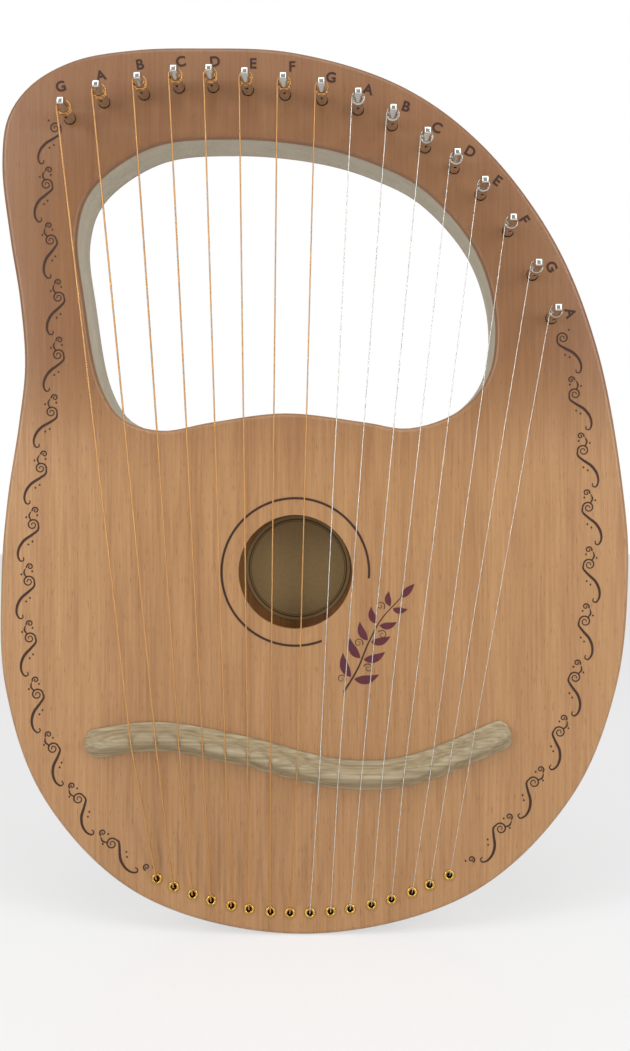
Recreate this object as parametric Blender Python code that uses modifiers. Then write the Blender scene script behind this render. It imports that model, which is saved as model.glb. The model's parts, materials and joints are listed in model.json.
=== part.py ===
"""Lyre harp with sixteen strings, upright and facing -Y. Lengths are in metres.

The back of the body lies on the plane y = 0 and its front on y = -BODY_DEPTH. +X is the viewer's
right and +Z is up. The origin is on the back, straight behind the centre of the sound hole.
"""

import math

import bmesh
import bpy
from mathutils import Matrix, Vector

# Gaps between pieces that touch or that turn in each other
FIT_GAP = 0.0003
GLUE_LINE = 0.0003
CUT_MARGIN = 0.0020

# Body: a thick core frame between a soundboard and a back plate
BOARD_THICKNESS = 0.0027
CORE_DEPTH = 0.0240
BACK_THICKNESS = 0.0027
ROUND_OVER = 0.0024
BODY_DEPTH = BOARD_THICKNESS + GLUE_LINE + CORE_DEPTH + GLUE_LINE + BACK_THICKNESS
CORE_FRONT = BODY_DEPTH - BOARD_THICKNESS - GLUE_LINE

# The body's outline, clockwise from the top, as (x, z) places that a smooth curve passes through
OUTLINE_STEP = 0.018
BODY_OUTLINE = [
    (-0.0450, 0.2442), (-0.0010, 0.2421), (0.0483, 0.2271), (0.0853, 0.2009),
    (0.1199, 0.1560), (0.1410, 0.1036), (0.1536, 0.0325), (0.1553, 0.0010),
    (0.1498, -0.0536), (0.1283, -0.1060), (0.0806, -0.1509), (0.0030, -0.1690),
    (-0.0724, -0.1509), (-0.1173, -0.1060), (-0.1355, -0.0536), (-0.1373, -0.0040),
    (-0.1346, 0.0325), (-0.1290, 0.0699), (-0.1263, 0.0960), (-0.1285, 0.1260),
    (-0.1332, 0.1560), (-0.1369, 0.1900), (-0.1341, 0.2121), (-0.1232, 0.2272),
    (-0.1032, 0.2383), (-0.0760, 0.2432),
]

# The window's outline, clockwise from its top
WINDOW_STEP = 0.012
WINDOW_OUTLINE = [
    (-0.0300, 0.2018), (0.0117, 0.1977), (0.0378, 0.1898), (0.0599, 0.1780),
    (0.0836, 0.1504), (0.0930, 0.1189), (0.0900, 0.0913), (0.0770, 0.0755),
    (0.0533, 0.0669), (0.0324, 0.0697), (-0.0048, 0.0739), (-0.0392, 0.0697),
    (-0.0630, 0.0658), (-0.0814, 0.0716), (-0.0913, 0.0874), (-0.0987, 0.1268),
    (-0.1018, 0.1581), (-0.0952, 0.1780), (-0.0676, 0.1977),
]

# Sound chamber inside the core, and the two braces under the soundboard
RIM_WALL = 0.0140
SILL_WALL = 0.0110
TAIL_WALL = 0.0100
SOUND_HOLE_DIAMETER = 0.0530
BRACE_WIDTH = 0.0080
BRACE_HEIGHT = 0.0095
UPPER_BRACE_MARGIN = 0.0090
LOWER_BRACE_MARGIN = 0.0120

# Paper label on the back plate, behind the sound hole
LABEL_MARGIN = 0.0010
LABEL_THICKNESS = 0.0003

# Bridge: a ridge along a smooth S, whose section is (share of half width, share of height)
BRIDGE_LINE = [
    (-0.0969, -0.0803), (-0.0640, -0.0763), (-0.0258, -0.0826),
    (0.0198, -0.0935), (0.0519, -0.0923), (0.0996, -0.0740),
]
BRIDGE_WIDTH = 0.0135
BRIDGE_HEIGHT = 0.0090
BRIDGE_SECTION = [(-1.0, 0.14), (-0.72, 0.52), (-0.24, 0.96), (0.0, 1.0), (0.24, 0.96), (0.72, 0.52), (1.0, 0.14)]
BRIDGE_STEPS = 24
BRIDGE_END_LENGTH = 0.0180
BRIDGE_END_SHARE = 0.45

# Tuning pins: places of their axes on the soundboard, lowest note first
PIN_PLACES = [
    (-0.1048, 0.2107), (-0.0888, 0.2182), (-0.0703, 0.2219), (-0.0540, 0.2251),
    (-0.0381, 0.2254), (-0.0220, 0.2240), (-0.0047, 0.2218), (0.0125, 0.2195),
    (0.0291, 0.2149), (0.0449, 0.2076), (0.0603, 0.1973), (0.0737, 0.1877),
    (0.0861, 0.1753), (0.0988, 0.1584), (0.1102, 0.1381), (0.1190, 0.1179),
]
PIN_DIAMETER = 0.0050
PIN_TILT = math.radians(7.0)
PIN_PROUD = 0.0190
PIN_FLOOR = 0.0060
PIN_SIDES = 10
HEAD_LENGTH = 0.0062
HEAD_SHOULDER = 0.0010
HEAD_BASE_FLAT = 0.0038
HEAD_TIP_FLAT = 0.0033
HEAD_DOME = 0.0007
HEAD_DOME_SHARE = 0.55
STRING_HOLE_DIAMETER = 0.0014
STRING_HOLE_HEIGHT = 0.0065

# Strings: x where each crosses the bridge and where it enters its eyelet, lowest note first
BRIDGE_CROSSINGS = [
    -0.0748, -0.0634, -0.0528, -0.0419, -0.0316, -0.0213, -0.0110, 0.0013,
    0.0114, 0.0200, 0.0305, 0.0400, 0.0500, 0.0623, 0.0710, 0.0807,
]
EYELET_PLACES = [
    -0.0644, -0.0565, -0.0477, -0.0391, -0.0297, -0.0215, -0.0115, -0.0025,
    0.0068, 0.0164, 0.0255, 0.0354, 0.0447, 0.0542, 0.0624, 0.0716,
]
EYELET_ARC_RADIUS = 0.1460
EYELET_ARC_LOWEST = (0.0020, -0.1586)
BRONZE_GAUGES = (0.00086, 0.00060)
STEEL_GAUGES = (0.00044, 0.00028)
BRONZE_STRINGS = 8
COIL_HEIGHT = 0.0123
COIL_TURNS = 3
COIL_TURN_POINTS = 8
COIL_GAP = 0.00046
CREST_HALF = 0.0014
EYELET_BEND_RADIUS = 0.0011
EYELET_BEND_POINTS = 4

# Eyelets in the soundboard, and the strings' ball ends in their pockets behind
EYELET_BORE = 0.0025
EYELET_BARREL = 0.0033
EYELET_FLANGE = 0.0051
EYELET_FLANGE_HEIGHT = 0.0005
EYELET_LENGTH = 0.0024
EYELET_SIDES = 8
STRING_BORE = 0.0026
SEAT_WOOD = 0.0040
BALL_DIAMETER = 0.0040
BALL_LENGTH = 0.0032
BALL_EDGE = 0.0005
POCKET_DIAMETER = 0.0062
POCKET_SIDES = 8

STRING_COUNT = len(PIN_PLACES)
PIN_OUTWARD = Vector((0.0, -math.cos(PIN_TILT), math.sin(PIN_TILT)))
PIN_LEFT = Vector((-1.0, 0.0, 0.0))
PIN_DOWN = Vector((0.0, -math.sin(PIN_TILT), -math.cos(PIN_TILT)))
PIN_EMBEDDED = BODY_DEPTH - BACK_THICKNESS - GLUE_LINE - PIN_FLOOR
SEAT_Y = -CORE_FRONT + SEAT_WOOD


def on_front(x, z, out=0.0):
    """The point at (x, z) that lies out in front of the soundboard."""
    return Vector((x, -BODY_DEPTH - out, z))


def curve_point(before, start, end, after, share):
    """A point between start and end on the centripetal curve through four places."""
    knots = [0.0]
    places = [Vector(place) for place in (before, start, end, after)]
    for here, there in zip(places, places[1:]):
        knots.append(knots[-1] + math.sqrt((there - here).length))
    where = knots[1] + share * (knots[2] - knots[1])
    while len(places) > 1:
        span = len(knots) - len(places) + 1
        places = [
            here.lerp(there, (where - knots[i]) / (knots[i + span] - knots[i]))
            for i, (here, there) in enumerate(zip(places, places[1:]))
        ]
        if len(places) == 2:
            return places[0].lerp(places[1], (where - knots[1]) / (knots[2] - knots[1]))
    return places[0]


def smooth_stretch(before, start, end, after, step):
    """Points of the smooth curve from start up to, but without, end."""
    count = max(2, round((Vector(end) - Vector(start)).length / step))
    return [curve_point(before, start, end, after, i / count) for i in range(count)]


def smooth_loop(places, step):
    """A closed smooth curve through the places, as points about a step apart."""
    points = []
    for i in range(len(places)):
        four = [places[(i + k) % len(places)] for k in (-1, 0, 1, 2)]
        points += smooth_stretch(*four, step)
    return points


def smooth_line(places, step):
    """An open smooth curve through the places, as points about a step apart."""
    first, last = Vector(places[0]), Vector(places[-1])
    padded = [2 * first - Vector(places[1]), *places, 2 * last - Vector(places[-2])]
    points = []
    for i in range(len(places) - 1):
        points += smooth_stretch(*padded[i:i + 4], step)
    return points + [last]


def inset_loop(loop, distance):
    """The clockwise loop moved inwards by a distance."""
    points = []
    for i, here in enumerate(loop):
        along = (loop[(i + 1) % len(loop)] - loop[i - 1]).normalized()
        points.append(here + distance * Vector((along.y, -along.x)))
    return points


def clip_loop(loop, height, keep_above):
    """The part of the loop above or below a height."""
    sign = 1 if keep_above else -1
    points = []
    for i, here in enumerate(loop):
        last = loop[i - 1]
        inside, was_inside = (sign * (p.y - height) >= 0 for p in (here, last))
        if inside != was_inside:
            points.append(last.lerp(here, (height - last.y) / (here.y - last.y)))
        if inside:
            points.append(here)
    return points


def span_at(loop, height):
    """The loop's lowest and highest x at a height."""
    crossings = []
    for i, here in enumerate(loop):
        last = loop[i - 1]
        if (here.y - height) * (last.y - height) < 0:
            crossings.append(last.lerp(here, (height - last.y) / (here.y - last.y)).x)
    return min(crossings), max(crossings)


def bridge_centre(x):
    """The z of the bridge's centre line at x."""
    for here, there in zip(BRIDGE_CENTRE_LINE, BRIDGE_CENTRE_LINE[1:]):
        if here.x <= x <= there.x:
            return here.lerp(there, (x - here.x) / (there.x - here.x)).y
    return BRIDGE_CENTRE_LINE[-1].y


def eyelet_centre(x):
    """The z of the arc of eyelets at x."""
    low_x, low_z = EYELET_ARC_LOWEST
    return low_z + EYELET_ARC_RADIUS - math.sqrt(EYELET_ARC_RADIUS**2 - (x - low_x) ** 2)


BODY_LOOP = smooth_loop(BODY_OUTLINE, OUTLINE_STEP)
WINDOW_LOOP = smooth_loop(WINDOW_OUTLINE, WINDOW_STEP)
BRIDGE_LENGTH = sum((Vector(b) - Vector(a)).length for a, b in zip(BRIDGE_LINE, BRIDGE_LINE[1:]))
BRIDGE_CENTRE_LINE = smooth_line(BRIDGE_LINE, BRIDGE_LENGTH / BRIDGE_STEPS)
EYELET_CENTRES = [(x, eyelet_centre(x)) for x in EYELET_PLACES]
CHAMBER_TOP = min(p.y for p in WINDOW_LOOP) - SILL_WALL
CHAMBER_BOTTOM = max(z for x, z in EYELET_CENTRES) + POCKET_DIAMETER / 2 + TAIL_WALL
CHAMBER_LOOP = clip_loop(
    clip_loop(inset_loop(BODY_LOOP, RIM_WALL), CHAMBER_TOP, False), CHAMBER_BOTTOM, True
)


def string_gauge(index):
    """The diameter of a string: bronze-wound up to BRONZE_STRINGS, then plain steel."""
    if index < BRONZE_STRINGS:
        thick, thin = BRONZE_GAUGES
        share = index / (BRONZE_STRINGS - 1)
    else:
        thick, thin = STEEL_GAUGES
        share = (index - BRONZE_STRINGS) / (STRING_COUNT - BRONZE_STRINGS - 1)
    return thick + share * (thin - thick)


def clear_scene():
    """Remove whatever the file opened with."""
    for obj in list(bpy.data.objects):
        bpy.data.objects.remove(obj, do_unlink=True)


def new_collection(name):
    """A collection linked to the scene."""
    collection = bpy.data.collections.new(name)
    bpy.context.scene.collection.children.link(collection)
    return collection


def new_material(name, colour, roughness, metallic):
    """A Principled material of one linear colour."""
    material = bpy.data.materials.new(name)
    material.use_nodes = True
    shader = material.node_tree.nodes["Principled BSDF"]
    shader.inputs["Base Color"].default_value = (*colour, 1.0)
    shader.inputs["Roughness"].default_value = roughness
    shader.inputs["Metallic"].default_value = metallic
    return material


def add_part(name, data, material):
    """A named piece of the harp."""
    part = bpy.data.objects.new(name, data)
    PARTS.objects.link(part)
    if not data.materials:
        data.materials.append(material)
    return part


def add_cutter(name, mesh):
    """A solid that only cuts others."""
    cutter = bpy.data.objects.new(name, mesh)
    CUTTERS.objects.link(cutter)
    cutter.hide_render = True
    cutter.display_type = "WIRE"
    return cutter


def cut(part, cutter):
    """Take the cutter out of the part."""
    boolean = part.modifiers.new(cutter.name, "BOOLEAN")
    boolean.operation = "DIFFERENCE"
    boolean.solver = "EXACT"
    boolean.object = cutter


def mesh_from(bm, name):
    """A mesh of what the bmesh holds, which is freed."""
    bmesh.ops.recalc_face_normals(bm, faces=bm.faces)
    mesh = bpy.data.meshes.new(name)
    bm.to_mesh(mesh)
    bm.free()
    return mesh


def shade_round(mesh, angle=40.0):
    """Smooth shading, apart from edges sharper than the angle."""
    mesh.shade_smooth()
    mesh.set_sharp_from_angle(angle=math.radians(angle))


def evaluated_bmesh(obj):
    """The object's evaluated mesh with its doubles merged; the object itself is removed."""
    bpy.context.view_layer.update()
    seen = obj.evaluated_get(bpy.context.evaluated_depsgraph_get())
    mesh = bpy.data.meshes.new_from_object(seen)
    bm = bmesh.new()
    bm.from_mesh(mesh)
    bmesh.ops.remove_doubles(bm, verts=bm.verts, dist=0.00001)
    bpy.data.meshes.remove(mesh)
    bpy.data.objects.remove(obj, do_unlink=True)
    return bm


def flat_curve(name, loops, half_depth, rounding=0.0):
    """A filled flat curve in local XY; rounding bevels its edges inside the loops."""
    curve = bpy.data.curves.new(name, "CURVE")
    curve.dimensions = "2D"
    curve.fill_mode = "BOTH"
    curve.extrude = half_depth - rounding
    curve.bevel_depth = rounding
    curve.bevel_resolution = 0
    curve.offset = -rounding
    for loop in loops:
        spline = curve.splines.new("POLY")
        spline.points.add(len(loop) - 1)
        for point, place in zip(spline.points, loop):
            point.co = (place[0], place[1], 0.0, 1.0)
        spline.use_cyclic_u = True
    return add_cutter(name, curve)


def stand_up(bm, y_middle):
    """Turn a flat shape upright, its local +Z to -Y, with its middle plane at y_middle."""
    upright = Matrix.Translation((0.0, y_middle, 0.0)) @ Matrix.Rotation(math.pi / 2, 4, "X")
    bmesh.ops.transform(bm, matrix=upright, verts=bm.verts)


def prism(name, loops, y_front, y_back):
    """A flat shape with straight sides between two depths."""
    bm = evaluated_bmesh(flat_curve(name, loops, (y_back - y_front) / 2))
    stand_up(bm, (y_front + y_back) / 2)
    return mesh_from(bm, name)


def rounded_board(name, thickness, y_inner, faces_front):
    """A body board whose outer edges are rounded; its flat inner face lies at y_inner."""
    bm = evaluated_bmesh(flat_curve(name, [BODY_LOOP, WINDOW_LOOP], thickness, ROUND_OVER))
    whole = bm.verts[:] + bm.edges[:] + bm.faces[:]
    outward = (0, 0, 1) if faces_front else (0, 0, -1)
    bmesh.ops.bisect_plane(bm, geom=whole, plane_co=(0, 0, 0), plane_no=outward, clear_inner=True)
    rim = [edge for edge in bm.edges if edge.is_boundary]
    bmesh.ops.triangle_fill(bm, use_beauty=True, edges=rim)
    stand_up(bm, y_inner)
    return mesh_from(bm, name)


def rod_bmesh(radius, low, high, sides):
    """A closed cylinder along local Z, with a flat turned to +X."""
    bm = bmesh.new()
    turn = Matrix.Rotation(math.pi / sides, 4, "Z")
    place = Matrix.Translation((0, 0, (low + high) / 2)) @ turn
    bmesh.ops.create_cone(
        bm, cap_ends=True, segments=sides, radius1=radius, radius2=radius, depth=high - low, matrix=place
    )
    return bm


def copies_of(mesh, matrices, name):
    """One mesh that holds a separate solid of the mesh at each matrix."""
    bm = bmesh.new()
    for matrix in matrices:
        known = set(bm.verts)
        bm.from_mesh(mesh)
        bmesh.ops.transform(bm, matrix=matrix, verts=[v for v in bm.verts if v not in known])
    joined = mesh_from(bm, name)
    bpy.data.meshes.remove(mesh)
    return joined


def pin_matrix(place):
    """The frame of a pin: its origin on the soundboard, local Z out along its axis."""
    x, z = place
    turned = Matrix((PIN_LEFT, PIN_DOWN, PIN_OUTWARD)).transposed()
    return Matrix.Translation(on_front(x, z)) @ turned.to_4x4()


def bore_matrix(place):
    """The frame of a string's bore: its origin on the soundboard, local Z out of the front."""
    x, z = place
    return Matrix.Translation(on_front(x, z)) @ Matrix.Rotation(math.pi / 2, 4, "X")


def pin_hole_cutter():
    """Blind, leaning holes through the soundboard into the core."""
    bm = rod_bmesh(PIN_DIAMETER / 2 + FIT_GAP, -PIN_EMBEDDED - FIT_GAP, CUT_MARGIN, PIN_SIDES)
    drill = mesh_from(bm, "pin_drill")
    return add_cutter("pin_holes", copies_of(drill, [pin_matrix(p) for p in PIN_PLACES], "pin_holes"))


def bore_cutter(name, diameter, y_front, y_back, sides):
    """Straight holes along Y at each eyelet."""
    bm = rod_bmesh(diameter / 2, -BODY_DEPTH - y_back, -BODY_DEPTH - y_front, sides)
    drill = mesh_from(bm, name + "_drill")
    return add_cutter(name, copies_of(drill, [bore_matrix(p) for p in EYELET_CENTRES], name))


def build_soundboard(pin_holes):
    """Front board with the window, the sound hole, and holes for the pins and eyelets."""
    mesh = rounded_board("soundboard", BOARD_THICKNESS, -CORE_FRONT - GLUE_LINE, True)
    board = add_part("soundboard", mesh, MATERIALS["soundboard"])
    drill = rod_bmesh(SOUND_HOLE_DIAMETER / 2, CORE_FRONT, BODY_DEPTH + CUT_MARGIN, 32)
    bmesh.ops.transform(drill, matrix=Matrix.Rotation(math.pi / 2, 4, "X"), verts=drill.verts)
    cut(board, add_cutter("sound_hole", mesh_from(drill, "sound_hole")))
    cut(board, pin_holes)
    barrel_hole = EYELET_BARREL + 2 * FIT_GAP
    front = -BODY_DEPTH - CUT_MARGIN
    cut(board, bore_cutter("eyelet_holes", barrel_hole, front, -CORE_FRONT, EYELET_SIDES))


def build_core(pin_holes, pockets):
    """Thick frame with the window, the sound chamber, the pin holes and the string bores."""
    mesh = prism("core_frame", [BODY_LOOP, WINDOW_LOOP], -CORE_FRONT, -CORE_FRONT + CORE_DEPTH)
    core = add_part("core_frame", mesh, MATERIALS["core_frame"])
    chamber = prism("sound_chamber", [CHAMBER_LOOP], -BODY_DEPTH, CUT_MARGIN)
    cut(core, add_cutter("sound_chamber", chamber))
    cut(core, pin_holes)
    bores = bore_cutter("string_bores", STRING_BORE, -BODY_DEPTH, SEAT_Y + CUT_MARGIN, EYELET_SIDES)
    cut(core, bores)
    cut(core, pockets)


def build_back(pockets):
    """Back board with the window and the mouths of the ball pockets."""
    mesh = rounded_board("back_plate", BACK_THICKNESS, -BACK_THICKNESS, False)
    cut(add_part("back_plate", mesh, MATERIALS["back_plate"]), pockets)


def build_brace(name, middle):
    """A wooden bar across the sound chamber, glued under the soundboard."""
    low, high = middle - BRACE_WIDTH / 2, middle + BRACE_WIDTH / 2
    left_low, right_low = span_at(CHAMBER_LOOP, low)
    left_high, right_high = span_at(CHAMBER_LOOP, high)
    bar = [
        (left_low + FIT_GAP, low), (left_high + FIT_GAP, high),
        (right_high - FIT_GAP, high), (right_low - FIT_GAP, low),
    ]
    front = -BODY_DEPTH + BOARD_THICKNESS + GLUE_LINE
    add_part(name, prism(name, [bar], front, front + BRACE_HEIGHT), MATERIALS["brace"])


def build_label():
    """Round paper label on the back plate's inner face."""
    low = BACK_THICKNESS + GLUE_LINE
    radius = SOUND_HOLE_DIAMETER / 2 - LABEL_MARGIN
    bm = rod_bmesh(radius, low, low + LABEL_THICKNESS, 32)
    bmesh.ops.transform(bm, matrix=Matrix.Rotation(math.pi / 2, 4, "X"), verts=bm.verts)
    add_part("paper_label", mesh_from(bm, "paper_label"), MATERIALS["paper_label"])


def bridge_point(share_along, share_across, share_up):
    """A point of the bridge; it is lower towards its two ends."""
    last = len(BRIDGE_CENTRE_LINE) - 1
    exact = share_along * last
    i = min(int(exact), last - 1)
    here, there = BRIDGE_CENTRE_LINE[i], BRIDGE_CENTRE_LINE[i + 1]
    along = (BRIDGE_CENTRE_LINE[min(i + 2, last)] - BRIDGE_CENTRE_LINE[max(i - 1, 0)]).normalized()
    place = here.lerp(there, exact - i) + share_across * BRIDGE_WIDTH / 2 * Vector((-along.y, along.x))
    from_end = min(share_along, 1 - share_along) * BRIDGE_LENGTH / BRIDGE_END_LENGTH
    rise = math.sin(min(from_end, 1.0) * math.pi / 2)
    height = BRIDGE_HEIGHT * (BRIDGE_END_SHARE + (1 - BRIDGE_END_SHARE) * rise)
    return on_front(place.x, place.y, FIT_GAP + share_up * height)


def build_bridge():
    """The ridge starts as a flat grid, is extruded, and is bent to its S and its section."""
    bm = bmesh.new()
    across = len(BRIDGE_SECTION) - 1
    bmesh.ops.create_grid(bm, x_segments=BRIDGE_STEPS, y_segments=across, size=0.5)
    top = bm.verts[:]
    foot = bmesh.ops.extrude_face_region(bm, geom=bm.faces[:], use_keep_orig=True)["geom"]
    foot_faces = [item for item in foot if isinstance(item, bmesh.types.BMFace)]
    foot_verts = [item for item in foot if isinstance(item, bmesh.types.BMVert)]
    for vert in top:
        share, up = BRIDGE_SECTION[round((vert.co.y + 0.5) * across)]
        vert.co = bridge_point(vert.co.x + 0.5, share, up)
    for vert in foot_verts:
        share = BRIDGE_SECTION[round((vert.co.y + 0.5) * across)][0]
        vert.co = bridge_point(vert.co.x + 0.5, share, 0.0)
    bmesh.ops.dissolve_faces(bm, faces=foot_faces)
    mesh = mesh_from(bm, "bridge")
    shade_round(mesh)
    add_part("bridge", mesh, MATERIALS["bridge"])


def squared(radius_point, flat):
    """A point of the round pin, moved in onto the flats of its square head."""
    half = flat / 2
    x, y = (max(-half, min(half, value)) for value in radius_point.xy)
    return Vector((x, y, radius_point.z))


def extrude_top(bm, height, reshape):
    """Extrude the highest face up to a height, and reshape its corners."""
    top = max(bm.faces, key=lambda face: face.calc_center_median().z)
    new_face = bmesh.ops.extrude_discrete_faces(bm, faces=[top])["faces"][0]
    for vert in new_face.verts:
        vert.co = reshape(Vector((vert.co.x, vert.co.y, height)))


def pin_mesh():
    """Round shaft with a cross hole for the string, and a tapered square head with a dome."""
    shoulder = PIN_PROUD - HEAD_LENGTH
    bm = rod_bmesh(PIN_DIAMETER / 2, -PIN_EMBEDDED, shoulder, PIN_SIDES)
    extrude_top(bm, shoulder + HEAD_SHOULDER, lambda p: squared(p, HEAD_BASE_FLAT))
    extrude_top(bm, PIN_PROUD - HEAD_DOME, lambda p: squared(p, HEAD_TIP_FLAT))
    extrude_top(bm, PIN_PROUD, lambda p: Vector((p.x * HEAD_DOME_SHARE, p.y * HEAD_DOME_SHARE, p.z)))
    pin = add_cutter("pin_blank", mesh_from(bm, "pin_blank"))
    drill = rod_bmesh(STRING_HOLE_DIAMETER / 2, -PIN_DIAMETER, PIN_DIAMETER, 6)
    across = Matrix.Translation((0, 0, STRING_HOLE_HEIGHT)) @ Matrix.Rotation(math.pi / 2, 4, "X")
    bmesh.ops.transform(drill, matrix=across, verts=drill.verts)
    hole = add_cutter("string_hole", mesh_from(drill, "string_hole"))
    cut(pin, hole)
    bm = evaluated_bmesh(pin)
    bpy.data.objects.remove(hole, do_unlink=True)
    mesh = mesh_from(bm, "tuning_pin")
    shade_round(mesh)
    return mesh


def build_pins():
    """Sixteen pins of one mesh, each with its origin on its own axis."""
    mesh = pin_mesh()
    for number, place in enumerate(PIN_PLACES, 1):
        pin = add_part(f"tuning_pin_{number:02d}", mesh, MATERIALS["tuning_pin"])
        pin.matrix_world = pin_matrix(place)


def eyelet_mesh():
    """A turned eyelet: a rounded flange on the soundboard and a barrel in it."""
    bore, barrel, flange = EYELET_BORE / 2, EYELET_BARREL / 2, EYELET_FLANGE / 2
    middle = (bore + flange) / 2
    top = FIT_GAP + EYELET_FLANGE_HEIGHT
    profile = [
        (flange, FIT_GAP + EYELET_FLANGE_HEIGHT / 2), (flange, FIT_GAP), (barrel, FIT_GAP),
        (barrel, -EYELET_LENGTH), (bore, -EYELET_LENGTH), (bore, top - EYELET_FLANGE_HEIGHT / 2),
        (middle, top),
    ]
    bm = bmesh.new()
    corners = [bm.verts.new((radius, 0.0, height)) for radius, height in profile]
    for i, corner in enumerate(corners):
        bm.edges.new((corner, corners[(i + 1) % len(corners)]))
    eyelet = add_cutter("eyelet_profile", mesh_from(bm, "eyelet_profile"))
    screw = eyelet.modifiers.new("turn", "SCREW")
    screw.steps = screw.render_steps = EYELET_SIDES
    screw.use_merge_vertices = True
    screw.merge_threshold = 0.00001
    mesh = mesh_from(evaluated_bmesh(eyelet), "eyelet")
    shade_round(mesh)
    return mesh


def build_eyelets():
    """Sixteen brass eyelets of one mesh in the soundboard."""
    mesh = eyelet_mesh()
    for number, place in enumerate(EYELET_CENTRES, 1):
        eyelet = add_part(f"eyelet_{number:02d}", mesh, MATERIALS["eyelet"])
        eyelet.matrix_world = bore_matrix(place)


def coil_points(index, towards):
    """The string's coil on its pin, from its cut tail to where it leaves for a point."""
    gauge = string_gauge(index)
    pitch = gauge + COIL_GAP
    half_step = math.pi / COIL_TURN_POINTS
    radius = (PIN_DIAMETER / 2 + FIT_GAP + gauge / 2) / math.cos(half_step)
    centre = on_front(*PIN_PLACES[index]) + COIL_HEIGHT * PIN_OUTWARD
    left, down = (towards - centre).dot(PIN_LEFT), (towards - centre).dot(PIN_DOWN)
    leaves = math.atan2(down, left) - math.acos(radius / math.hypot(left, down))
    points = []
    for i in range(COIL_TURNS * COIL_TURN_POINTS, -1, -1):
        back = 2 * math.pi * i / COIL_TURN_POINTS
        angle = leaves - back
        arm = math.cos(angle) * PIN_LEFT + math.sin(angle) * PIN_DOWN
        points.append(centre - PIN_OUTWARD * pitch * back / (2 * math.pi) + radius * arm)
    start = leaves - 2 * math.pi * COIL_TURNS
    backwards = math.sin(start) * PIN_LEFT - math.cos(start) * PIN_DOWN
    return [points[0] + 2 * gauge * backwards] + points


def eyelet_points(index, crest):
    """The string's bend over the eyelet's edge and its run down the bore to the ball end."""
    x, z = EYELET_CENTRES[index]
    height = FIT_GAP + EYELET_FLANGE_HEIGHT
    up_board = Vector((crest.x - x, 0.0, crest.z - z))
    reach = up_board.length - EYELET_BEND_RADIUS
    up_board.normalize()
    rise = -BODY_DEPTH - crest.y - height
    tilt = math.atan2(rise, reach) + math.acos(EYELET_BEND_RADIUS / math.hypot(rise, reach))
    points = []
    for i in range(EYELET_BEND_POINTS):
        angle = tilt + (math.pi - tilt) * i / (EYELET_BEND_POINTS - 1)
        along = EYELET_BEND_RADIUS * (1 + math.cos(angle))
        out = height + EYELET_BEND_RADIUS * math.sin(angle)
        points.append(on_front(x, z, out) + along * up_board)
    return points


def ball_end_points(index):
    """Points and radii of the ball end, a short barrel behind the seat of its pocket."""
    x, z = EYELET_CENTRES[index]
    wire, full = string_gauge(index) / 2, BALL_DIAMETER / 2
    front, back = SEAT_Y + FIT_GAP, SEAT_Y + FIT_GAP + BALL_LENGTH
    profile = [
        (front - BALL_EDGE, wire), (front, full - BALL_EDGE), (front + BALL_EDGE, full),
        (back - BALL_EDGE, full), (back, full - BALL_EDGE),
    ]
    return [(Vector((x, y, z)), radius) for y, radius in profile]


def string_route(index):
    """A string's middle line: tail, coil, bridge crest and eyelet."""
    x = BRIDGE_CROSSINGS[index]
    out = FIT_GAP + BRIDGE_HEIGHT + FIT_GAP + string_gauge(index) / 2
    crest = on_front(x, bridge_centre(x), out)
    pin, eyelet = on_front(*PIN_PLACES[index], out), on_front(*EYELET_CENTRES[index], out)
    above = crest + CREST_HALF * (pin - crest).normalized()
    below = crest + CREST_HALF * (eyelet - crest).normalized()
    return coil_points(index, above) + [above, below] + eyelet_points(index, below)


def least_coil_gap(index):
    """The least gap of the string's tube to itself, measured between points a turn apart."""
    route = string_route(index)
    near = COIL_TURN_POINTS // 2
    coil = route[:COIL_TURNS * COIL_TURN_POINTS + 3]
    distances = [
        (there - here).length for i, here in enumerate(coil) for there in coil[i + near + 1:]
    ]
    return min(distances) - string_gauge(index)


def build_strings():
    """Sixteen strings, each one unbroken tube from its coil to its barrel-shaped ball end."""
    for index in range(STRING_COUNT):
        name = f"string_{index + 1:02d}"
        curve = bpy.data.curves.new(name, "CURVE")
        curve.dimensions = "3D"
        wire = string_gauge(index) / 2
        curve.bevel_depth = wire
        curve.bevel_resolution = 1
        curve.use_fill_caps = True
        route = [(place, wire) for place in string_route(index)] + ball_end_points(index)
        spline = curve.splines.new("POLY")
        spline.points.add(len(route) - 1)
        for point, (place, radius) in zip(spline.points, route):
            point.co = (*place, 1.0)
            point.radius = radius / wire
        kind = "bronze_string" if index < BRONZE_STRINGS else "steel_string"
        add_part(name, curve, MATERIALS[kind])
    gaps = [least_coil_gap(index) for index in range(STRING_COUNT)]
    print(f"least gap of a string's coil to itself: {min(gaps) * 1000:.3f} mm")


clear_scene()
PARTS = new_collection("lyre_harp")
CUTTERS = new_collection("cutters")
MATERIALS = {
    "soundboard": new_material("brown_mahogany", (0.42, 0.24, 0.12), 0.45, 0.0),
    "core_frame": new_material("pale_core_board", (0.50, 0.42, 0.31), 0.60, 0.0),
    "back_plate": new_material("mahogany_back", (0.38, 0.20, 0.10), 0.45, 0.0),
    "brace": new_material("brace_spruce", (0.62, 0.48, 0.30), 0.65, 0.0),
    "bridge": new_material("bare_grey_beech", (0.37, 0.31, 0.20), 0.60, 0.0),
    "tuning_pin": new_material("nickel_plated_steel", (0.66, 0.65, 0.62), 0.18, 1.0),
    "bronze_string": new_material("bronze_wound_string", (0.70, 0.46, 0.26), 0.30, 1.0),
    "steel_string": new_material("plain_steel_string", (0.62, 0.61, 0.59), 0.25, 1.0),
    "eyelet": new_material("eyelet_brass", (0.78, 0.56, 0.20), 0.25, 1.0),
    "paper_label": new_material("label_paper", (0.45, 0.38, 0.24), 0.80, 0.0),
}

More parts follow.
